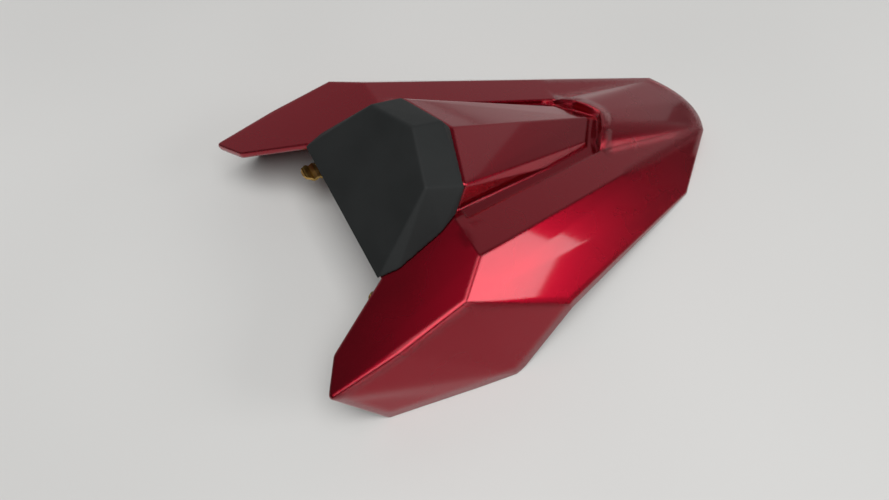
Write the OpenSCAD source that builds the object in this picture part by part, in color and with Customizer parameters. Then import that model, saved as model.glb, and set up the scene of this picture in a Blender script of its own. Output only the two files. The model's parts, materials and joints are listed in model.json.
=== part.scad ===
// Single-seat cowl of a motorbike: a painted shell with two forward wings, a raised hump in a
// V-ended groove and a faceted backrest pad. Below it a moulded tray carries two hook brackets,
// a lock striker and rubber dampers.
// X runs from the wing tips to the tail, Y across and Z up from the surface the cowl rests on.
// The origin is at the middle of the length, on that surface.

/* [Shell outline] */
// Length from the wing tips to the tail edge
length = 445; // [425:1:465]
// Thickness of the shell's wall
wall = 2.5; // [2:0.1:2.8]
// Radius of the sharp outer edges
edge_r = 3; // [3:0.1:4]
// Distance between the two wing tips
tip_span = 280; // [268:1:292]
// Height of the wing tips
tip_h = 45.9; // [42:0.1:50]
// Outward bow of the wing ridges, midway along them
ridge_bow = 2.3; // [1:0.1:4]
// Distance from the wing tips to the ridge kinks
kink_x = 112; // [104:1:118]
// Width across the ridge kinks
kink_span = 264; // [256:1:272]
// Distance from the wing tips to the shoulder line, the highest line of the shell
shoulder_x = 138.5; // [132:0.5:146]
// Width across the shoulder corners
shoulder_span = 212.8; // [204:1:222]
// Height of the shoulder line
shoulder_h = 84.5; // [80:0.5:90]
// Radius of the soft bend along the shoulder line
shoulder_r = 60; // [40:1:70]
// Distance from the tail edge forward to the tail corners
tail_bow = 16.9; // [12:0.1:22]
// Width across the tail corners
tail_span = 81.4; // [70:0.2:92]
// Height of the tail corners
tail_h = 14.9; // [12:0.1:20]
// Fall of the tail's crest for each millimetre of length
tail_fall = 0.355; // [0.3:0.005:0.4]

/* [Shell sides] */
// Distance from the wing tips back to the foot of the raked wing front
rake_x = 32; // [24:1:40]
// Width across the feet of the wing fronts
rake_span = 309.4; // [300:0.2:316]
// Distance from the wing tips to the widest point of the lower edge
flare_x = 141.8; // [134:0.1:150]
// Width across the widest points
flare_span = 340; // [334:1:348]
// Radius that rounds the side out to the widest point
flare_r = 40; // [25:1:50]
// Distance from the wing tips to the foot of the side crease
crease_x = 199.3; // [190:0.1:208]
// Width across the feet of the side creases
crease_span = 296.4; // [290:0.2:302]
// Height of the foot of the side crease
crease_h = 27; // [22:0.5:32]
// Radius of the side crease at its foot
crease_r = 18; // [10:1:24]
// Distance from the wing tips to the rear lower corners
hip_x = 371.5; // [362:0.5:380]
// Width across the rear lower corners
hip_span = 182; // [174:1:190]
// Height of the side faces' lower edge at the rear lower corners
hip_h = 1.5; // [1:0.1:3]
// Height of the upright lip under the side faces
lip_h = 4; // [3:0.5:6]

/* [Notch between the wings] */
// Distance from the wing tips back to the inner front corner of a wing
notch_x = 14.9; // [10:0.1:20]
// Width of the notch at those corners
notch_span = 223.8; // [216:0.2:230]
// Radius of those corners
notch_r = 9; // [4:1:14]
// Distance from the wing tips to the shell's front wall under the pad
front_x = 70; // [66:0.5:76]
// Width of the notch at the front wall
front_span = 156; // [148:1:162]
// Depth of the turned-down edge along the notch
hem_h = 5; // [4:0.5:8]
// Depth of the front wall under the pad
front_wall_h = 12; // [8:1:20]

/* [Hump and groove] */
// Distance from the wing tips to the hump's crest where it meets the pad
hump_x = 170.6; // [164:0.1:178]
// Height of the crest there
hump_h = 105.2; // [100:0.1:110]
// Width of the hump's roof at the pad
hump_span = 108; // [100:1:114]
// How far the roof's front corners lie ahead of its crest
hump_sweep = 16.6; // [12:0.1:20]
// Fall of the roof from its crest to its front corners
hump_fall = 4.9; // [3:0.1:7]
// Distance from the wing tips to the rear end of the hump's crest
hump_end_x = 314; // [306:0.5:318]
// Height of the crest's rear end
hump_end_h = 48.6; // [47:0.1:51]
// Width of the hump's roof at its rear corners
hump_end_span = 52.2; // [46:0.2:56]
// Length of the roof's pointed rear end
hump_point = 21.2; // [16:0.1:26]
// How far the hump's sides lean out for each millimetre that they go down
hump_lean = 0.42; // [0.3:0.01:0.5]
// Distance from the wing tips to the rear of the groove
groove_x = 327.9; // [324:0.1:334]
// Height of the shell's crest behind the groove
groove_h = 49; // [48:0.1:52]
// Width across the groove's rear corners
groove_span = 77.6; // [74:0.2:82]
// Length of the groove's pointed rear end
groove_point = 26.4; // [22:0.1:30]
// Depth of the groove at its rear
groove_depth = 6.5; // [4.5:0.1:7.5]
// Depth at which the groove runs out beside the pad
groove_runout = 2.4; // [1:0.1:3]
// How far the groove's outer wall leans for its full depth
groove_lean = 2.8; // [1.5:0.1:4]
// Distance from the wing tips to the front end of the groove
groove_front_x = 148; // [144:1:152]
// Width across the groove's front end
groove_front_span = 141; // [138:0.5:146]

/* [Backrest pad] */
// Distance from the wing tips to the pad's front edge
pad_x = 64.5; // [62:0.1:66]
// Height of the pad's face at its front edge
pad_h = 62.4; // [60:0.1:65]
// Angle of the pad's face above the horizontal
pad_angle = 39; // [36:0.5:41]
// Width of the face at its front edge
pad_span = 141; // [134:1:146]
// Width of the face at its shoulders
pad_top_span = 100.6; // [94:0.2:108]
// Distance from the wing tips to the face's shoulders
pad_top_x = 124.7; // [120:0.1:128]
// Distance from the wing tips to the face's peak
pad_peak_x = 138.9; // [135:0.1:143]
// Width across the pad's foot
pad_foot_span = 160; // [154:1:164]
// Distance from the wing tips to the rear end of the pad's top
pad_end_x = 163.8; // [160:0.1:167]
// Height of the rear end of the pad's top
pad_end_h = 116.3; // [113:0.1:119]
// Radius of the pad's edges
pad_r = 2.5; // [1.5:0.1:3.5]
// How far the pad's lip hangs down ahead of the shell
pad_lip = 6; // [3:0.5:8]
// Gap between the pad and the pieces round it
pad_gap = 0.3; // [0.2:0.05:0.5]
// Thickness of the pad's base plate
base_t = 3; // [2.5:0.1:4]
// Length of the base plate up the shell
base_l = 54; // [48:1:58]
// Width of the base plate
base_w = 112; // [100:1:118]

/* [Tray] */
// Distance from the wing tips to the tray's front edge
tray_x = 77; // [75:0.5:80]
// Height of the tray's top at its front edge
tray_h = 54; // [52:0.5:55]
// Angle at which the tray falls to the rear
tray_angle = 9.5; // [8:0.5:10]
// Length of the tray
tray_l = 230; // [222:1:236]
// Width of the tray at the front
tray_w = 172; // [168:1:178]
// Width of the tray at the rear
tray_end_w = 108; // [100:1:116]
// Thickness of the tray's floor
tray_t = 2.5; // [2:0.1:3]
// Height of the rim round the tray
tray_rim_h = 9; // [7:0.5:11]
// Thickness of the rim and ribs
rib_t = 2; // [1.5:0.1:2.5]
// Height of the ribs on the tray
rib_h = 5; // [3:0.5:7]

/* [Hooks, striker and dampers] */
// Thickness of the hook brackets' sheet
hook_t = 2.5; // [2:0.1:3]
// Width of a hook bracket
hook_w = 18; // [16:0.5:19]
// Distance from the tray's side edge to the middle of a hook bracket
hook_inset = 10; // [9.5:0.5:12]
// Drop of a hook's tongue below the tray
hook_drop = 18; // [14:1:20]
// Length of a hook's tongue ahead of its bend
hook_reach = 17; // [14:0.5:19]
// Height of the wave pressed into the tongue
hook_wave = 2.6; // [1.5:0.1:3.5]
// Wire diameter of the lock striker
striker_d = 8; // [7:0.1:9]
// Distance between the striker's legs
striker_w = 36; // [32:1:40]
// Drop of the striker below its plate
striker_drop = 21; // [18:0.5:22]
// Distance from the lock striker to the tray's rear edge
striker_back = 80; // [70:1:90]
// Diameter of the rubber dampers
damper_d = 22; // [18:0.5:26]
// Height of the rubber dampers below the tray
damper_h = 7; // [5:0.5:8]
// Diameter of the dampers' stems
damper_stem_d = 8; // [7:0.1:9]
// Length of the foam buffers under the wings
buffer_l = 44; // [30:1:50]
// Width of the foam buffers
buffer_w = 14; // [10:1:20]
// Thickness of the foam buffers
buffer_t = 9; // [5:0.5:12]
// Thread diameter of the bracket bolts
bolt_d = 6; // [5:0.1:6]
// Shank diameter of the tapping screws
screw_d = 4; // [3.5:0.1:4.2]
// Outer diameter of the screw bosses
boss_d = 9; // [8:0.1:10]
// Gap round every bolt, screw and stem
fit_gap = 0.1; // [0.05:0.01:0.15]

/* [Hidden] */

// Facets of the rounding balls and of round parts
ball_fn = 24;
round_fn = 48;
// Depth below the resting surface to which the trimmed solids run
below = 12;
// Shift of the hollow that opens the wings' fronts
front_open = 4;
// A little extra length so that cuts pass right through
over = 1;

// Fall of the wings' top and of the deck, each for a millimetre of length
wing_rise = (shoulder_h - tip_h) / shoulder_x;
tail_x = length - tail_bow;
deck_fall = (shoulder_h - tail_h) / (tail_x - shoulder_x);
wing_angle = atan(wing_rise);
deck_angle = atan(deck_fall);
rake_run = rake_x / tip_h;

function wing_z(x) = tip_h + wing_rise * x;
function deck_z(x) = shoulder_h - deck_fall * (x - shoulder_x);
function mix(a, b, t) = a + (b - a) * t;

// Point of the tail's curved edge, from the centre (k = 0) to the tail corner (k = 1)
function tail_edge(k) = [length - tail_bow * k * k, k * tail_span / 2, tail_h - tail_fall * tail_bow * (1 - k * k)];

// Corners of the shell's body, each as its place, its radius and the way in to its centre
BODY = [
    [[0, tip_span / 2, tip_h], edge_r, [1, -0.87, -0.59]],
    [[kink_x / 2, mix(tip_span, kink_span, 0.5) / 2 + ridge_bow, wing_z(kink_x / 2)], edge_r,
     [0.22, -0.78, -0.98]],
    [[kink_x, kink_span / 2, wing_z(kink_x)], edge_r, [0.48, -0.79, -0.91]],
    [[shoulder_x, shoulder_span / 2, shoulder_h], edge_r, [0.02, -0.38, -1.03]],
    [[shoulder_x, shoulder_span / 4, shoulder_h], shoulder_r, [-0.02, 0, -1.035]],
    for (k = [0:0.2:1]) [tail_edge(k), edge_r, [-1, 0, -0.75]],
    [[rake_x + below * rake_run, rake_span / 2 + 0.32 * below, -below], edge_r, [1.2, -1, 0]],
    [[flare_x, flare_span / 2, 0], flare_r, [-0.1, -0.94, -0.33]],
    [[crease_x, crease_span / 2, crease_h], crease_r, [-0.26, -0.76, -0.6]],
    [[crease_x, crease_span / 2, -below], edge_r, [0, -1, 0]],
    [[hip_x, hip_span / 2, hip_h], edge_r, [-0.5, -0.9, -0.5]],
    [[hip_x, hip_span / 2, -below], edge_r, [-0.5, -0.9, 0]],
    for (k = [0:0.2:1]) [[tail_edge(k).x, tail_edge(k).y, -below], edge_r, [-1, 0, 0]],
];

// Corners of the raised panel between the groove and the tail: a crown that flattens out to the tail
panel_x = groove_x - groove_point;
panel_w = groove_span / 2 - 1;
crest_h = groove_h + tail_fall * groove_point;
PANEL = [
    for (k = [0:0.2:0.8])
        [[panel_x, k * panel_w, mix(crest_h, deck_z(panel_x), k * k)], edge_r, [0, 0, -1.05]],
    [[panel_x, panel_w, deck_z(panel_x) - 0.2], edge_r, [0, -0.6, -1]],
    for (k = [0:0.25:1])
        [[tail_edge(k).x - 5, 0.92 * tail_edge(k).y, tail_edge(k).z + mix(5 * tail_fall + 0.3, 5 * deck_fall - 0.3, k)],
         edge_r, [0, 0, -1]],
    [[panel_x, panel_w - 6, deck_z(panel_x) - 8], edge_r, [0, 0, 0]],
    [[tail_x - 14, tail_span / 2 - 10, 6], edge_r, [0, 0, 0]],
];

// Corners of the hump; its sides run on down to its sunk foot
hump_foot_h = deck_z(hump_end_x) - 9;
hump_front_foot_h = deck_z(hump_x) - 12;
HUMP = [
    [[hump_x, 0, hump_h], edge_r, [0.5, 0, -0.9]],
    [[hump_x - hump_sweep, hump_span / 2, hump_h - hump_fall], edge_r, [0.4, -0.8, -0.9]],
    [[hump_end_x - hump_point, hump_end_span / 2, mix(hump_end_h, hump_h, 0.045)], edge_r, [-0.5, -0.7, -0.9]],
    [[hump_end_x, 0, hump_end_h], edge_r, [-0.8, 0, -0.8]],
    [[hump_x - hump_sweep - 0.6 * (hump_h - hump_fall - hump_front_foot_h),
      hump_span / 2 + 0.38 * (hump_h - hump_fall - hump_front_foot_h), hump_front_foot_h], edge_r, [0.8, -0.9, 0]],
    [[hump_x - 8, 0, hump_front_foot_h], edge_r, [0.8, 0, 0]],
    [[hump_end_x - hump_point + 3, hump_end_span / 2 + hump_lean * (hump_end_h - hump_foot_h), hump_foot_h], edge_r,
     [-0.5, -0.8, 0]],
    [[hump_end_x + hump_lean * (hump_end_h - hump_foot_h), 0, hump_foot_h], edge_r, [-0.9, 0, 0]],
];

// Corners of the wings' top and the deck alone, which the pad sits on
TOP = concat([for (i = [0:4]) BODY[i]],
             [[tail_edge(1), edge_r, [-1, 0, -0.75]], [[shoulder_x, shoulder_span / 2, 0], edge_r, [0, 0, 0]]]);

// The pad's face rises at its own angle from its front edge
function face_z(x) = pad_h + tan(pad_angle) * (x - pad_x);
PAD = [
    [[pad_x, pad_span / 2, pad_h], pad_r, [1, -0.8, -0.2]],
    [[pad_x, pad_span / 2, pad_h - pad_lip], pad_r, [1, -0.8, 0]],
    [[pad_x + 3, pad_foot_span / 2 - 2, wing_z(pad_x + 3)], pad_r, [0.6, -1, -0.3]],
    [[pad_x + 20, pad_foot_span / 2, wing_z(pad_x + 20)], pad_r, [0, -1, 0]],
    [[pad_top_x, pad_foot_span / 2 - 7.6, wing_z(pad_top_x)], pad_r, [0, -1, 0]],
    [[pad_top_x - 1, pad_foot_span / 2 - 13, wing_z(pad_top_x) + 6], pad_r, [0, -1, -0.5]],
    [[pad_top_x, pad_top_span / 2, face_z(pad_top_x)], pad_r, [0, -0.6, -1]],
    [[pad_peak_x, 0, face_z(pad_peak_x)], pad_r, [0, 0, -1.1]],
    [[pad_end_x, 0, pad_end_h], pad_r, [-0.5, 0, -1]],
    [[pad_top_x + 22.7, pad_top_span / 2 - 1.4, face_z(pad_top_x) - 6.4], pad_r, [-0.4, -0.7, -0.9]],
    [[hump_x, 0, hump_h], pad_r, [-0.8, 0, -0.4]],
    [[hump_x - hump_sweep, hump_span / 2, hump_h - hump_fall], pad_r, [-0.8, -0.3, -0.4]],
    [[shoulder_x, pad_foot_span / 2 - 13, shoulder_h - 1], pad_r, [-0.5, -1, 0]],
    [[shoulder_x, 0, shoulder_h - 4], pad_r, [0, 0, 0]],
];

// Convex solid over mirrored rounding balls, made smaller by inset
module rounded_hull(corners, inset)
    hull()
        for (c = corners, s = [-1, 1])
            translate([c[0].x + c[1] * c[2].x, s * (c[0].y + c[1] * c[2].y), c[0].z + c[1] * c[2].z])
                sphere(c[1] - inset, $fn = ball_fn);

module framed() translate([-length / 2, 0, 0]) children();

// Places children on the wings' top plane, x from the wing tips, with its own Z along the normal
module on_wing(x, y = 0) translate([x, y, wing_z(x)]) rotate([0, -wing_angle, 0]) children();

// Places children in the tray's own frame, with Z up from the tray's top face
module on_tray() translate([tray_x, 0, tray_h]) rotate([0, tray_angle, 0]) children();

// Turned-round copies for both sides
module both_sides() for (s = [0, 1]) mirror([0, s, 0]) children();

// Outline of the notch between the wings, seen from above
module notch_outline() {
    tip = [notch_x, notch_span / 2];
    back = [front_x, front_span / 2];
    run = [notch_x, (notch_span - tip_span) / 2 + edge_r];
    start = tip - run * (1 + 12 / notch_x);
    lead = tip - start;
    leave = back - tip;
    bend = atan2(leave.y, leave.x) - atan2(lead.y, lead.x);
    cut = notch_r * tan(bend / 2);
    centre = tip - cut * lead / norm(lead) + notch_r * [-lead.y, lead.x] / norm(lead);
    from = atan2(lead.y, lead.x) - 90;
    arc = [for (i = [0:6]) centre + notch_r * [cos(from + bend * i / 6), sin(from + bend * i / 6)]];
    side = concat([start], arc, [back]);
    polygon(concat(side, [for (i = [len(side) - 1:-1:0]) [side[i].x, -side[i].y]]));
}

// Half of the groove: the space above its floor and inside its outer wall
module groove_half(grow) {
    rear_x = groove_x - groove_point;
    top = 130;
    f = [[groove_front_x, groove_front_span / 2, deck_z(groove_front_x) - groove_runout],
         [rear_x, groove_span / 2, deck_z(rear_x) + 0.6 - groove_depth],
         [groove_x, 0, groove_h - groove_depth]];
    lean = groove_lean / groove_depth;
    n = cross(f[1] - f[0], f[2] - f[0]);
    function floor_z(p) = f[0].z - (n.x * (p.x - f[0].x) + n.y * (p.y - f[0].y)) / n.z - grow * 1.06;
    plan = [[groove_front_x - grow, 0], [groove_front_x - grow, groove_front_span / 2 - groove_runout * lean + grow],
            [rear_x - groove_lean * 0.4 + grow * 0.6, groove_span / 2 - groove_lean + grow],
            [groove_x - groove_lean + grow, 0]];
    wide = [[0, 0], [0, 1], [0.5, 1], [1, 0]];
    low = [for (p = plan) [p.x, p.y, floor_z(p)]];
    high = [for (i = [0:3]) let (h = top - low[i].z)
        [plan[i].x + wide[i].x * lean * h, plan[i].y + wide[i].y * lean * h, top]];
    polyhedron(concat(low, high),
               [[3, 2, 1], [3, 1, 0], [4, 5, 6], [4, 6, 7],
                [0, 1, 5], [0, 5, 4], [1, 2, 6], [1, 6, 5], [2, 3, 7], [2, 7, 6], [3, 0, 4], [3, 4, 7]]);
}

module groove_cut(grow) both_sides() groove_half(grow);

// Space under the shell's lower edge, which rises to the foot of the crease
module edge_trim()
    rotate([90, 0, 0])
        linear_extrude(height = 2 * flare_span, center = true)
            polygon([[-length, 0], [flare_x, 0], [crease_x, crease_h - lip_h], [hip_x, 0], [2 * length, 0],
                     [2 * length, -length], [-length, -length]]);

// Space above the middle of the wall of the wings' top and of the deck
module above_wall() {
    on_wing(0)
        translate([-length, -length / 2, -wall / 2])
            cube([3 * length, length, length]);
    translate([shoulder_x, 0, shoulder_h])
        rotate([0, deck_angle, 0])
            translate([-length, -length / 2, -wall / 2])
                cube([3 * length, length, length]);
}

// Half of the tray's width at a distance from its front edge
tray_taper_x = 0.55 * tray_l;
function tray_half(x) = x < tray_taper_x ? tray_w / 2
    : mix(tray_w, tray_end_w, (x - tray_taper_x) / (tray_l - tray_taper_x)) / 2;
hook_y = tray_w / 2 - hook_inset;
striker_x = tray_l - striker_back;

// Screws that hold the pad's base, on the wings' top plane, from the base's front edge and middle
stud_x = 14;
stud_step = 30;
stud_y = 34;
PAD_SCREWS = [[stud_x, stud_y], [stud_x + stud_step, stud_y]];
base_x = 75;

// Screw bosses that hang from the shell to the tray, in the tray's frame. The front screw sits between the
// pad's stud and the hook bracket. The others are given from the tray's front or rear edge and its side edge.
boss_rise = 60;
front_screw_x = 14;
front_screw_y = mix(stud_y, hook_y - hook_w / 2, 20 / 33);
second_screw_x = 92;
second_screw_inset = 13;
third_screw_back = 66;
third_screw_inset = 14.4;
rear_screw_back = 16;
rear_screw_inset = 12.5;
function from_edge(x, inset) = [x, tray_half(x) - inset];
TRAY_SCREWS = [[front_screw_x, front_screw_y], from_edge(second_screw_x, second_screw_inset),
               from_edge(tray_l - third_screw_back, third_screw_inset),
               from_edge(tray_l - rear_screw_back, rear_screw_inset)];

module bosses()
    on_tray()
        both_sides()
            for (p = TRAY_SCREWS)
                translate([p.x, p.y, 0])
                    cylinder(h = boss_rise, d = boss_d, $fn = round_fn);

module boss_bores()
    on_tray()
        both_sides()
            for (p = TRAY_SCREWS)
                translate([p.x, p.y, -over])
                    cylinder(h = tray_screw_l + over + 1, d = screw_d + 2 * fit_gap, $fn = round_fn);

module pad_screw_holes(d)
    on_wing(base_x)
        both_sides()
            for (p = PAD_SCREWS)
                translate([p.x, p.y, -3 * wall])
                    cylinder(h = 6 * wall, d = d, $fn = round_fn);

// Studs of the pad's base: their diameter, their length below the shell's top and above the base
stud_d = 9;
stud_l = wall + pad_gap;
stud_top = 3;
tray_screw_l = 14;

module cowl_shell()
    color([0.55, 0.02, 0.06])
        framed()
            difference() {
                union() {
                    difference() {
                        union() {
                            difference() {
                                union() {
                                    rounded_hull(BODY, 0);
                                    rounded_hull(PANEL, 0);
                                }
                                groove_cut(0);
                            }
                            rounded_hull(HUMP, 0);
                        }
                        edge_trim();
                        translate([0, 0, -over])
                            linear_extrude(height = 2 * shoulder_h)
                                notch_outline();
                        cavity();
                    }
                    difference() {
                        bosses();
                        above_wall();
                    }
                }
                boss_bores();
                pad_screw_holes(stud_d + 2 * fit_gap + 0.4);
            }

// Hollow inside of the shell
module cavity() {
    difference() {
        union() {
            rounded_hull(BODY, wall);
            rounded_hull(PANEL, wall);
            translate([-front_open, 0, -front_open * wing_rise])
                rounded_hull(BODY, wall);
        }
        groove_cut(wall);
        intersection() {
            linear_extrude(height = 2 * shoulder_h)
                offset(delta = wall)
                    notch_outline();
            on_wing(0)
                translate([-50, -tip_span, -hem_h])
                    cube([2 * length, 2 * tip_span, 2 * shoulder_h]);
        }
        on_wing(front_x)
            translate([0, -front_span / 2, -front_wall_h])
                cube([wall, front_span, 2 * front_wall_h]);
    }
    rounded_hull(HUMP, wall);
}

module backrest_pad()
    color([0.1, 0.1, 0.1])
        framed()
            difference() {
                rounded_hull(PAD, 0);
                rounded_hull(TOP, -pad_gap);
                rounded_hull(HUMP, -pad_gap);
                translate([0, -pad_foot_span, -over])
                    cube([front_x - pad_gap, 2 * pad_foot_span, pad_h - pad_lip + over]);
                on_wing(base_x)
                    translate([-pad_gap, -base_w / 2 - pad_gap, -over])
                        cube([base_l + 2 * pad_gap, base_w + 2 * pad_gap, base_t + 2 * pad_gap + over]);
                on_wing(base_x)
                    both_sides()
                        for (p = PAD_SCREWS)
                            translate([p.x, p.y, 0])
                                cylinder(h = base_t + stud_top + pad_gap, d = stud_d + 2 * pad_gap, $fn = round_fn);
            }

pad_screw_l = 9;
module pad_base()
    color([0.13, 0.13, 0.13])
        framed()
            on_wing(base_x)
                difference() {
                    union() {
                        translate([0, -base_w / 2, pad_gap])
                            cube([base_l, base_w, base_t]);
                        both_sides()
                            for (p = PAD_SCREWS)
                                translate([p.x, p.y, -stud_l])
                                    cylinder(h = stud_l + base_t + stud_top, d = stud_d, $fn = round_fn);
                    }
                    both_sides()
                        for (p = PAD_SCREWS)
                            translate([p.x, p.y, -stud_l - over])
                                cylinder(h = pad_screw_l, d = screw_d + 2 * fit_gap, $fn = round_fn);
                }

washer_d = 15;
washer_t = 1.2;
// Pan-head tapping screw pointing up, with its head's seat at z = 0
module tapping_screw(shank_l) {
    translate([0, 0, -2.6])
        difference() {
            cylinder(h = 2.6, d = 2 * screw_d, $fn = round_fn);
            for (turn = [0, 90])
                rotate([0, 0, turn])
                    translate([-screw_d / 2, -0.5, -over])
                        cube([screw_d, 1, 1.4 + over]);
        }
    cylinder(h = shank_l - 1.5, d = screw_d, $fn = round_fn);
    translate([0, 0, shank_l - 1.5])
        cylinder(h = 1.5, d1 = screw_d, d2 = screw_d / 2, $fn = round_fn);
}

// A plain washer with its lower face at z = 0
module washer(d, bore, t)
    difference() {
        cylinder(h = t, d = d, $fn = round_fn);
        translate([0, 0, -over])
            cylinder(h = t + 2 * over, d = bore, $fn = round_fn);
    }

module at_pad_screws()
    framed()
        on_wing(base_x)
            both_sides()
                for (p = PAD_SCREWS)
                    translate([p.x, p.y, -stud_l])
                        children();

module pad_washers()
    color([0.7, 0.7, 0.72])
        at_pad_screws()
            translate([0, 0, -washer_t])
                washer(washer_d, screw_d + 2 * fit_gap, washer_t);

module pad_screws()
    color([0.6, 0.6, 0.62])
        at_pad_screws()
            translate([0, 0, -washer_t])
                tapping_screw(pad_screw_l - 2);

hook_bolt_x = 22;
front_damper_x = 50;
front_damper_inset = 24;
rear_damper_back = 26;
rear_damper_inset = 29;
DAMPERS = [from_edge(front_damper_x, front_damper_inset), from_edge(tray_l - rear_damper_back, rear_damper_inset)];

// Plate of the striker, with its cut corners and its bolts
plate_t = 3;
plate_l = 30;
plate_w = 76;
plate_corner = 8;
striker_bolt_y = plate_w / 2 - 11;
STRIKER_BOLTS = [-striker_bolt_y, striker_bolt_y];

tray_corner = 8;

// Outline of the tray in its own frame, inset from its edge
module tray_outline(inset = 0)
    polygon([[inset, -tray_w / 2 + inset + tray_corner], [inset, tray_w / 2 - inset - tray_corner],
             [inset * 0.4 + tray_corner, tray_w / 2 - inset],
             [tray_taper_x, tray_w / 2 - inset], [tray_l - inset, tray_end_w / 2 - inset],
             [tray_l - inset, -tray_end_w / 2 + inset], [tray_taper_x, -tray_w / 2 + inset],
             [inset * 0.4 + tray_corner, -tray_w / 2 + inset]]);

module seat_tray()
    color([0.11, 0.11, 0.12])
        framed()
            on_tray()
                difference() {
                    union() {
                        translate([0, 0, -tray_t])
                            linear_extrude(height = tray_t)
                                tray_outline();
                        difference() {
                            translate([0, 0, -tray_t])
                                linear_extrude(height = tray_t + tray_rim_h)
                                    tray_outline();
                            translate([0, 0, -2 * tray_t])
                                linear_extrude(height = 4 * tray_t + tray_rim_h)
                                    tray_outline(rib_t);
                        }
                        intersection() {
                            translate([0, 0, -tray_t / 2])
                                linear_extrude(height = 2 * rib_h)
                                    tray_outline(rib_t / 2);
                            tray_ribs();
                        }
                    }
                    both_sides()
                        for (p = TRAY_SCREWS)
                            translate([p.x, p.y, -tray_t - over])
                                cylinder(h = tray_t + rib_h + 2 * over, d = screw_d + 2 * fit_gap, $fn = round_fn);
                    both_sides()
                        for (p = DAMPERS)
                            translate([p.x, p.y, -tray_t - over])
                                cylinder(h = tray_t + rib_h + 2 * over, d = damper_stem_d + 2 * fit_gap, $fn = round_fn);
                    both_sides()
                        translate([hook_bolt_x, hook_y, -tray_t - over])
                            cylinder(h = tray_t + rib_h + 2 * over, d = bolt_d + 2 * fit_gap, $fn = round_fn);
                    for (y = STRIKER_BOLTS)
                        translate([striker_x, y, -tray_t - over])
                            cylinder(h = tray_t + rib_h + 2 * over, d = collar_d + 2 * fit_gap, $fn = round_fn);
                }

collar_d = 9;
rib_clear_d = 18;
// Ribs that stand on the tray's top, clear of the bosses, dampers and bolts
long_rib_step = 32;
CROSS_RIBS = [34, 68, 118, tray_l - 48];
module tray_ribs()
    difference() {
        union() {
            for (k = [-1.5:1:1.5])
                translate([0, k * long_rib_step - rib_t / 2, -tray_t])
                    cube([tray_l, rib_t, tray_t + rib_h]);
            for (x = CROSS_RIBS)
                translate([x - rib_t / 2, -tray_w / 2, -tray_t])
                    cube([rib_t, tray_w, tray_t + rib_h]);
        }
        both_sides()
            for (p = concat(TRAY_SCREWS, DAMPERS, [[hook_bolt_x, hook_y], [striker_x, striker_bolt_y]]))
                translate([p.x, p.y, -2 * tray_t])
                    cylinder(h = 4 * tray_t + rib_h, d = rib_clear_d, $fn = round_fn);
    }

module tray_screws()
    color([0.6, 0.6, 0.62])
        framed()
            on_tray()
                both_sides()
                    for (p = TRAY_SCREWS)
                        translate([p.x, p.y, -tray_t])
                            tapping_screw(tray_screw_l);

// Hook bracket: the rear end of its plate, its two bends, and the root, the lift and the rounding of its tongue
hook_plate_end = 34;
hook_bend_x = 11;
hook_foot_x = 6;
hook_root = [1, -2];
hook_tip_lift = 3;
hook_round_x = hook_root.x - hook_reach + hook_w / 2 - 1;

// Centre line of a hook bracket's sheet, from its rear end to the tip of its waved tongue
function hook_line() = concat(
    [[hook_plate_end, 0], [hook_bend_x, 0], [hook_foot_x, -hook_drop]],
    [for (i = [0:10]) let (t = i / 10)
        [hook_root.x - hook_reach * t, -hook_drop + hook_root.y + hook_wave * (0.5 - 0.5 * cos(720 * t))
            + hook_tip_lift * max(0, t - 0.85) / 0.15]]);

// Widens a line into a strip of even thickness
function strip(line, t) = let (
    n = len(line),
    way = [for (i = [0:n - 1]) let (a = line[max(i - 1, 0)], b = line[min(i + 1, n - 1)]) (b - a) / norm(b - a)],
    left = [for (i = [0:n - 1]) line[i] + t / 2 * [-way[i].y, way[i].x]],
    right = [for (i = [n - 1:-1:0]) line[i] - t / 2 * [-way[i].y, way[i].x]])
    concat(left, right);

module hook_bracket()
    color([0.72, 0.58, 0.25])
        framed()
            on_tray()
                translate([0, hook_y, -tray_t - hook_t / 2])
                    difference() {
                        intersection() {
                            rotate([90, 0, 0])
                                linear_extrude(height = hook_w, center = true)
                                    polygon(strip(hook_line(), hook_t));
                            union() {
                                translate([hook_round_x, 0, -2 * hook_drop])
                                    cylinder(h = 3 * hook_drop, d = hook_w, $fn = round_fn);
                                translate([hook_round_x, -hook_w / 2, -2 * hook_drop])
                                    cube([hook_plate_end - hook_round_x + over, hook_w, 3 * hook_drop]);
                            }
                        }
                        translate([hook_bolt_x, 0, -hook_t])
                            cylinder(h = 2 * hook_t, d = bolt_d + 2 * fit_gap, $fn = round_fn);
                    }

module hook_bracket_left() mirror([0, 1, 0]) hook_bracket();
module hook_bracket_right() hook_bracket();

// Hexagon bolt with a flange, pointing up, with its flange's seat at z = 0
module flange_bolt(shank_l) {
    translate([0, 0, -1.3])
        cylinder(h = 1.3, d = 2.1 * bolt_d, $fn = round_fn);
    translate([0, 0, -1.3 - 0.6 * bolt_d])
        cylinder(h = 0.6 * bolt_d, d = 1.8 * bolt_d, $fn = 6);
    cylinder(h = shank_l, d = bolt_d, $fn = round_fn);
}

// Hexagon nut with a flange, with its flange's seat at z = 0
module flange_nut()
    difference() {
        union() {
            cylinder(h = 1.3, d = 2.1 * bolt_d, $fn = round_fn);
            translate([0, 0, 1.3])
                cylinder(h = 0.7 * bolt_d, d = 1.8 * bolt_d, $fn = 6);
        }
        translate([0, 0, -over])
            cylinder(h = bolt_d + 2 * over, d = bolt_d + 2 * fit_gap, $fn = round_fn);
    }

module hook_bolts()
    color([0.72, 0.58, 0.25])
        framed()
            on_tray()
                both_sides()
                    translate([hook_bolt_x, hook_y, -tray_t - hook_t])
                        flange_bolt(hook_t + tray_t + bolt_d + 2);

module hook_nuts()
    color([0.72, 0.58, 0.25])
        framed()
            on_tray()
                both_sides()
                    translate([hook_bolt_x, hook_y, 0])
                        flange_nut();

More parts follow.
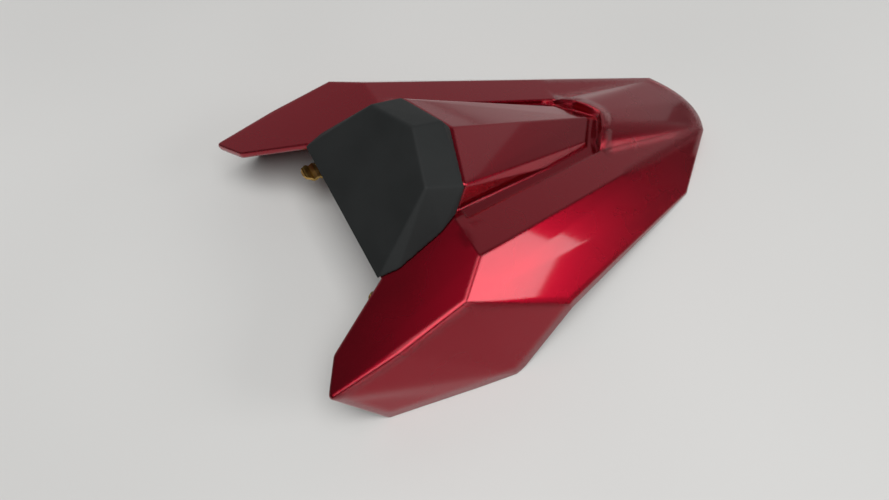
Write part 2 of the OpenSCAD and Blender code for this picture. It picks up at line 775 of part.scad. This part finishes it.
module striker_plate()
    color([0.7, 0.7, 0.72])
        framed()
            on_tray()
                translate([striker_x, 0, -tray_t - plate_t])
                    difference() {
                        linear_extrude(height = plate_t)
                            polygon([[-plate_l / 2, -plate_w / 2 + plate_corner],
                                     [-plate_l / 2, plate_w / 2 - plate_corner],
                                     [-plate_l / 2 + plate_corner, plate_w / 2],
                                     [plate_l / 2 - plate_corner, plate_w / 2],
                                     [plate_l / 2, plate_w / 2 - plate_corner],
                                     [plate_l / 2, -plate_w / 2 + plate_corner],
                                     [plate_l / 2 - plate_corner, -plate_w / 2],
                                     [-plate_l / 2 + plate_corner, -plate_w / 2]]);
                        for (y = STRIKER_BOLTS)
                            translate([0, y, -over])
                                cylinder(h = plate_t + 2 * over, d = bolt_d + 2 * fit_gap, $fn = round_fn);
                        for (s = [-1, 1])
                            translate([0, s * striker_w / 2, -over])
                                cylinder(h = plate_t + 2 * over, d = striker_d + 2 * fit_gap, $fn = round_fn);
                    }

// Bent wire whose legs stand in the striker plate
module striker_loop()
    color([0.75, 0.75, 0.77])
        framed()
            on_tray()
                translate([striker_x, 0, -tray_t - plate_t]) {
                    bend = striker_d;
                    low = -striker_drop + bend + striker_d / 2;
                    for (s = [-1, 1])
                        translate([0, s * striker_w / 2, low])
                            cylinder(h = plate_t - low, d = striker_d, $fn = round_fn);
                    both_sides()
                        translate([0, striker_w / 2 - bend, low])
                            rotate([0, 90, 0])
                                rotate_extrude(angle = 90, $fn = round_fn)
                                    translate([bend, 0])
                                        circle(d = striker_d, $fn = round_fn);
                    translate([0, 0, low - bend])
                        rotate([90, 0, 0])
                            cylinder(h = striker_w - 2 * bend, d = striker_d, center = true, $fn = round_fn);
                }

module at_striker_bolts(z)
    framed()
        on_tray()
            for (y = STRIKER_BOLTS)
                translate([striker_x, y, z])
                    children();

module striker_bolts()
    color([0.6, 0.6, 0.62])
        at_striker_bolts(-tray_t - plate_t)
            flange_bolt(plate_t + tray_t + bolt_d + 3);

module striker_collars()
    color([0.7, 0.7, 0.72])
        at_striker_bolts(-tray_t)
            washer(collar_d, bolt_d + 2 * fit_gap, tray_t);

module striker_nuts()
    color([0.6, 0.6, 0.62])
        at_striker_bolts(0)
            flange_nut();

// Rubber damper under the tray, held by the bulb on its stem
module damper(i)
    color([0.08, 0.08, 0.08])
        framed()
            on_tray()
                translate([DAMPERS[i].x, DAMPERS[i].y, -tray_t]) {
                    rotate_extrude($fn = round_fn)
                        polygon([[0, -damper_h], [damper_d / 2 - 2, -damper_h], [damper_d / 2, -damper_h + 2],
                                 [damper_d / 2, 0], [damper_stem_d / 2, 0], [damper_stem_d / 2, tray_t],
                                 [damper_stem_d / 2 + 1.2, tray_t + 0.2], [damper_stem_d / 2 + 1.2, tray_t + 1.6],
                                 [damper_stem_d / 2 - 1.4, tray_t + 5], [0, tray_t + 5]]);
                }

module front_damper_left() mirror([0, 1, 0]) damper(0);
module front_damper_right() damper(0);
module rear_damper_left() mirror([0, 1, 0]) damper(1);
module rear_damper_right() damper(1);

// Foam block stuck under the top of a wing
buffer_x = 38;
buffer_inset = 22;
buffer_y = tip_span / 2 - buffer_inset;
module wing_buffer()
    color([0.15, 0.15, 0.16])
        framed()
            on_wing(buffer_x)
                translate([0, buffer_y - buffer_w / 2, -wall - buffer_t - 0.1])
                    cube([buffer_l, buffer_w, buffer_t]);

module wing_buffer_left() mirror([0, 1, 0]) wing_buffer();
module wing_buffer_right() wing_buffer();

cowl_shell();
backrest_pad();
pad_base();
pad_screws();
pad_washers();
seat_tray();
tray_screws();
hook_bracket_left();
hook_bracket_right();
hook_bolts();
hook_nuts();
striker_plate();
striker_loop();
striker_bolts();
striker_collars();
striker_nuts();
front_damper_left();
front_damper_right();
rear_damper_left();
rear_damper_right();
wing_buffer_left();
wing_buffer_right();
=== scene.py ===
import json
import math
import bpy
from mathutils import Matrix, Vector


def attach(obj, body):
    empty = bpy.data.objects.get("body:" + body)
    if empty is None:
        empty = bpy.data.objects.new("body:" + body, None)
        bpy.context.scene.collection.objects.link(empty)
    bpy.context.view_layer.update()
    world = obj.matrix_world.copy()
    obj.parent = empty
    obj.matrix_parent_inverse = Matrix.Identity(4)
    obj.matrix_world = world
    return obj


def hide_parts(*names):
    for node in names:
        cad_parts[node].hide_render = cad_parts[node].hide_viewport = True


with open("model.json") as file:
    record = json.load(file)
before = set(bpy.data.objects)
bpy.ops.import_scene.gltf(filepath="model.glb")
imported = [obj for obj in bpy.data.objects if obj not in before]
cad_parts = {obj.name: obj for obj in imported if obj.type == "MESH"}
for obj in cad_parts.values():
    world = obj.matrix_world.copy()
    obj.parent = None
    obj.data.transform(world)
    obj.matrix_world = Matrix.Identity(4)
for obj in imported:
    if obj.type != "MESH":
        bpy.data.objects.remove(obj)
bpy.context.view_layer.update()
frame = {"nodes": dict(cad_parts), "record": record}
scene = bpy.context.scene

# Lengths are in metres and angles in degrees. X, Y and Z are those of the shared frame.

# Places of the shoulder line and of the tail panel's front edge along X
SHOULDER_X = -0.084
TAIL_X = 0.096
# The ridges lie RIDGE_MIDDLE + RIDGE_SLOPE * x from the middle plane
RIDGE_SLOPE = -0.13
RIDGE_MIDDLE = 0.0955

# Radius and samples of the paint's bends: wide ones in places, narrow ones everywhere else
WIDE_BEND = (0.013, 8)
NARROW_BEND = (0.0028, 6)
# Where the wide bends fade in, from none to full. FRONT and REAR are places along X, a SHARE is
# one of the ridges' distance from the middle plane, and a SLOPE is the height of the unit normal.
SHOULDER_FRONT = (SHOULDER_X - 0.024, SHOULDER_X - 0.014)
SHOULDER_REAR = (SHOULDER_X + 0.024, SHOULDER_X + 0.014)
SHOULDER_INNER_SHARE = (0.7, 0.77)
SHOULDER_OUTER_SHARE = (0.93, 0.84)
TAIL_FRONT = (TAIL_X, TAIL_X + 0.014)
TAIL_CORNER_FRONT = (TAIL_X - 0.018, TAIL_X - 0.008)
TAIL_CORNER_SHARE = (0.23, 0.29)
TAIL_OUTER_SHARE = (0.9, 0.8)
SIDE_SHARE = (1.0, 1.02)
SIDE_TOP_SLOPE = (0.64, 0.58)
SIDE_FOOT_SLOPE = (0.0, 0.05)

# Values of a noise between which colour and roughness change
PATTERN_LOW = 0.3
PATTERN_HIGH = 0.7

# Bends of the shell that are shaded smoothly
SOFT_ANGLE = 30
# Remeshing and smoothing that round the backrest pad's edges
PAD_VOXEL = 0.0009
PAD_SMOOTHING = 0.5
PAD_PASSES = 8

# Half the floor's side, and its height, just below the cowl
FLOOR_REACH = 14.0
FLOOR_Z = -0.0006

# The photo's lens, in pixels of the photo's width
FOCAL_PIXELS = 640.0
PHOTO_PIXELS = 889.0
SENSOR_MM = 36.0


# Node helpers

def new_material(name):
    """A material, with its node tree and its Principled shader."""
    mat = bpy.data.materials.new(name)
    mat.use_nodes = True
    tree = mat.node_tree
    shader = next(n for n in tree.nodes if n.type == "BSDF_PRINCIPLED")
    return mat, tree, shader


def noise(tree, scale, detail=2.0, rough=0.5):
    """3-D noise over the object's own coordinates."""
    where = tree.nodes.new("ShaderNodeTexCoord")
    node = tree.nodes.new("ShaderNodeTexNoise")
    node.inputs["Scale"].default_value = scale
    node.inputs["Detail"].default_value = detail
    node.inputs["Roughness"].default_value = rough
    tree.links.new(where.outputs["Object"], node.inputs["Vector"])
    return node.outputs["Fac"]


def between(tree, source, start, end, low=0.0, high=1.0):
    """A number that runs from low to high as source goes from start to end."""
    node = tree.nodes.new("ShaderNodeMapRange")
    node.inputs["From Min"].default_value = start
    node.inputs["From Max"].default_value = end
    node.inputs["To Min"].default_value = low
    node.inputs["To Max"].default_value = high
    tree.links.new(source, node.inputs["Value"])
    return node.outputs["Result"]


def step(tree, operation, *values):
    """One Math node over sockets or numbers."""
    node = tree.nodes.new("ShaderNodeMath")
    node.operation = operation
    for socket, value in zip(node.inputs, values):
        if isinstance(value, (int, float)):
            socket.default_value = value
        else:
            tree.links.new(value, socket)
    return node.outputs["Value"]


def times(tree, first, *others):
    """The product of two or more sockets."""
    for other in others:
        first = step(tree, "MULTIPLY", first, other)
    return first


def bevel(tree, radius, samples):
    """The surface normal, with edges rounded to a radius."""
    node = tree.nodes.new("ShaderNodeBevel")
    node.samples = samples
    node.inputs["Radius"].default_value = radius
    return node.outputs["Normal"]


def colour(tree, shader, pattern, dark, light, light_at=PATTERN_HIGH):
    """Base colour that runs from dark to light as the pattern rises to light_at."""
    node = tree.nodes.new("ShaderNodeValToRGB")
    stops = ((PATTERN_LOW, dark), (light_at, light))
    for element, (place, tone) in zip(node.color_ramp.elements, stops):
        element.position = place
        element.color = (*tone, 1.0)
    tree.links.new(pattern, node.inputs["Fac"])
    tree.links.new(node.outputs["Color"], shader.inputs["Base Color"])


def roughness(tree, shader, pattern, low, high):
    """Roughness that runs from low to high with the pattern."""
    value = between(tree, pattern, PATTERN_LOW, PATTERN_HIGH, low, high)
    tree.links.new(value, shader.inputs["Roughness"])


def bump(tree, shader, pattern, strength, distance):
    """Relief that follows the pattern."""
    node = tree.nodes.new("ShaderNodeBump")
    node.inputs["Strength"].default_value = strength
    node.inputs["Distance"].default_value = distance
    tree.links.new(pattern, node.inputs["Height"])
    tree.links.new(node.outputs["Normal"], shader.inputs["Normal"])


# Materials

def soft_bends(tree):
    """The surface normal with its edges narrowly rounded, and with wide bends along the shoulder,
    in the tail panel and below the side creases."""
    where = tree.nodes.new("ShaderNodeTexCoord")
    axes = tree.nodes.new("ShaderNodeSeparateXYZ")
    tree.links.new(where.outputs["Object"], axes.inputs["Vector"])
    plain = tree.nodes.new("ShaderNodeNewGeometry")
    facing = tree.nodes.new("ShaderNodeSeparateXYZ")
    tree.links.new(plain.outputs["True Normal"], facing.inputs["Vector"])
    x = axes.outputs["X"]
    slope = facing.outputs["Z"]
    ridge = step(tree, "MULTIPLY_ADD", x, RIDGE_SLOPE, RIDGE_MIDDLE)
    share = step(tree, "DIVIDE", step(tree, "ABSOLUTE", axes.outputs["Y"]), ridge)
    shoulder = times(tree,
                     between(tree, x, *SHOULDER_FRONT),
                     between(tree, x, *SHOULDER_REAR),
                     between(tree, share, *SHOULDER_INNER_SHARE),
                     between(tree, share, *SHOULDER_OUTER_SHARE))
    corner = times(tree,
                   between(tree, x, *TAIL_CORNER_FRONT),
                   between(tree, share, *TAIL_CORNER_SHARE))
    tail = times(tree,
                 step(tree, "MAXIMUM", between(tree, x, *TAIL_FRONT), corner),
                 between(tree, share, *TAIL_OUTER_SHARE))
    side = times(tree,
                 between(tree, slope, *SIDE_TOP_SLOPE),
                 between(tree, slope, *SIDE_FOOT_SLOPE),
                 between(tree, share, *SIDE_SHARE))
    mix = tree.nodes.new("ShaderNodeMix")
    mix.data_type = "VECTOR"
    factor = step(tree, "MAXIMUM", step(tree, "MAXIMUM", shoulder, tail), side)
    tree.links.new(factor, mix.inputs["Factor"])
    tree.links.new(bevel(tree, *NARROW_BEND), mix.inputs["A"])
    tree.links.new(bevel(tree, *WIDE_BEND), mix.inputs["B"])
    return mix.outputs["Result"]


def candy_paint():
    """Metallic base coat with fine flakes under a clear coat."""
    mat, tree, shader = new_material("candy_paint")
    flakes = noise(tree, scale=2600.0, detail=1.0)
    colour(tree, shader, flakes, (0.295, 0.001, 0.0125), (0.325, 0.002, 0.0155), light_at=0.72)
    roughness(tree, shader, noise(tree, scale=18.0, detail=3.0), 0.25, 0.29)
    shader.inputs["Metallic"].default_value = 1.0
    shader.inputs["Coat Weight"].default_value = 1.0
    shader.inputs["Coat Roughness"].default_value = 0.05
    shader.inputs["Coat IOR"].default_value = 1.4
    bent = soft_bends(tree)
    tree.links.new(bent, shader.inputs["Normal"])
    tree.links.new(bent, shader.inputs["Coat Normal"])
    return mat


def urethane():
    """Matte moulded skin with a fine grain."""
    mat, tree, shader = new_material("pad_urethane")
    cloud = noise(tree, scale=24.0, detail=4.0)
    colour(tree, shader, cloud, (0.0095, 0.011, 0.011), (0.0155, 0.0172, 0.0172))
    roughness(tree, shader, cloud, 0.58, 0.7)
    shader.inputs["Specular IOR Level"].default_value = 0.32
    grain = noise(tree, scale=1500.0, detail=3.0, rough=0.6)
    bump(tree, shader, grain, strength=0.22, distance=0.0004)
    return mat


def dark_plastic(name, low, high, rough_low, rough_high):
    """Moulded plastic, rubber or foam in a dark grey with a touch of blue."""
    mat, tree, shader = new_material(name)
    cloud = noise(tree, scale=30.0, detail=3.0)
    colour(tree, shader, cloud, (low, low, low * 1.03), (high, high, high * 1.03))
    roughness(tree, shader, cloud, rough_low, rough_high)
    bump(tree, shader, noise(tree, scale=1900.0), strength=0.18, distance=0.0003)
    return mat


def metal(name, dark, light, rough_low, rough_high):
    """Plated steel with a fine, uneven surface."""
    mat, tree, shader = new_material(name)
    cloud = noise(tree, scale=90.0, detail=5.0, rough=0.6)
    colour(tree, shader, cloud, dark, light, light_at=0.72)
    roughness(tree, shader, cloud, rough_low, rough_high)
    shader.inputs["Metallic"].default_value = 1.0
    bump(tree, shader, noise(tree, scale=700.0), strength=0.08, distance=0.0002)
    return mat


pad_skin = urethane()
by_slot = {
    "candy_paint": candy_paint(),
    "pad_skin": pad_skin,
    "inner_plastic": dark_plastic("inner_plastic", 0.014, 0.022, 0.5, 0.62),
    "tray_plastic": dark_plastic("tray_plastic", 0.018, 0.03, 0.42, 0.56),
    "black_rubber": dark_plastic("black_rubber", 0.009, 0.016, 0.7, 0.82),
    "grey_foam": dark_plastic("grey_foam", 0.04, 0.07, 0.88, 0.96),
    "plated_steel": metal("plated_steel", (0.42, 0.42, 0.44), (0.66, 0.66, 0.68), 0.24, 0.4),
    "yellow_zinc": metal("yellow_zinc", (0.46, 0.27, 0.07), (0.78, 0.56, 0.2), 0.28, 0.46),
}
slot_of = {part["node"]: part["material_slot"] for part in frame["record"]["subparts"]}
for name, node in frame["nodes"].items():
    node.data.materials.clear()
    node.data.materials.append(by_slot[slot_of[name]])


# Shading of the shell

def shade_smooth(mesh):
    for polygon in mesh.polygons:
        polygon.use_smooth = True


def soften(obj, angle):
    """Shades bends up to angle smoothly while large flat faces stay flat."""
    shade_smooth(obj.data)
    split = obj.modifiers.new("split", "EDGE_SPLIT")
    split.split_angle = math.radians(angle)
    weigh = obj.modifiers.new("weigh", "WEIGHTED_NORMAL")
    weigh.keep_sharp = True
    weigh.weight = 80


soften(frame["nodes"]["cowl_shell"], SOFT_ANGLE)


# Backrest pad

def moulded_pad():
    """A copy of the pad's block with softly rounded edges."""
    mesh = frame["nodes"]["backrest_pad"].data.copy()
    pad = bpy.data.objects.new("pad_block", mesh)
    scene.collection.objects.link(pad)
    remesh = pad.modifiers.new("remesh", "REMESH")
    remesh.mode = "VOXEL"
    remesh.voxel_size = PAD_VOXEL
    smooth = pad.modifiers.new("smooth", "SMOOTH")
    smooth.factor = PAD_SMOOTHING
    smooth.iterations = PAD_PASSES
    depsgraph = bpy.context.evaluated_depsgraph_get()
    shaped = bpy.data.meshes.new_from_object(pad.evaluated_get(depsgraph))
    pad.modifiers.clear()
    pad.data = shaped
    shaped.name = "pad_block"
    shaped.materials.clear()
    shaped.materials.append(pad_skin)
    shade_smooth(shaped)
    return pad


pad = moulded_pad()
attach(pad, "root")
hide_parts("backrest_pad")


# Floor, light and camera

def floor():
    """A plain pale floor with faint clouds in its tone."""
    corners = [(-FLOOR_REACH, -FLOOR_REACH, FLOOR_Z), (FLOOR_REACH, -FLOOR_REACH, FLOOR_Z),
               (FLOOR_REACH, FLOOR_REACH, FLOOR_Z), (-FLOOR_REACH, FLOOR_REACH, FLOOR_Z)]
    mesh = bpy.data.meshes.new("table")
    mesh.from_pydata(corners, [], [(0, 1, 2, 3)])
    table = bpy.data.objects.new("table", mesh)
    scene.collection.objects.link(table)
    mat, tree, shader = new_material("table_top")
    colour(tree, shader, noise(tree, scale=1.6), (0.66, 0.655, 0.64), (0.72, 0.715, 0.70))
    shader.inputs["Roughness"].default_value = 0.55
    mesh.materials.append(mat)
    return table


floor()


def panel(name, azimuth, elevation, distance, width, height, radiance, centre=(0.0, 0.0, 0.04)):
    """A soft rectangular light of a given radiance that faces centre from a direction."""
    light = bpy.data.lights.new(name, "AREA")
    light.shape = "RECTANGLE"
    light.size = width
    light.size_y = height
    light.energy = radiance * math.pi * width * height
    lamp = bpy.data.objects.new(name, light)
    scene.collection.objects.link(lamp)
    a, e = math.radians(azimuth), math.radians(elevation)
    way = Vector((math.cos(e) * math.cos(a), math.cos(e) * math.sin(a), math.sin(e)))
    lamp.location = Vector(centre) + way * distance
    lamp.rotation_euler = way.to_track_quat("Z", "Y").to_euler()


panel("window", azimuth=-38.5, elevation=24, distance=6.2, width=2.86, height=1.86, radiance=4.8,
      centre=(0.0, -0.1, 0.05))
panel("ceiling", azimuth=-100, elevation=71, distance=5.3, width=4.8, height=4.8, radiance=3.3)
panel("top", azimuth=130, elevation=74, distance=6.2, width=2.4, height=2.4, radiance=1.4)
panel("wall", azimuth=75, elevation=26, distance=6.2, width=14.0, height=6.0, radiance=0.35)
panel("side", azimuth=8, elevation=26, distance=6.2, width=3.1, height=3.6, radiance=0.22)

world = bpy.data.worlds.new("studio")
scene.world = world
world.use_nodes = True
background = world.node_tree.nodes["Background"]
background.inputs["Color"].default_value = (0.98, 0.99, 1.0, 1)
background.inputs["Strength"].default_value = 0.085
scene.view_settings.view_transform = "Standard"

# The camera stands where the photo's did, by a solve on the cowl's mirrored corners
right = Vector((0.885838, -0.463168, -0.027675))
up = Vector((0.398550, 0.728999, 0.556523))
back = Vector((-0.237589, -0.504019, 0.830371))
turn = Matrix((right, up, back)).transposed().to_4x4()
lens = bpy.data.cameras.new("camera")
lens.sensor_width = SENSOR_MM
lens.lens = FOCAL_PIXELS / PHOTO_PIXELS * SENSOR_MM
lens.clip_start = 0.01
camera = bpy.data.objects.new("camera", lens)
scene.collection.objects.link(camera)
camera.matrix_world = Matrix.Translation((-0.216291, -0.327165, 0.476184)) @ turn
scene.camera = camera
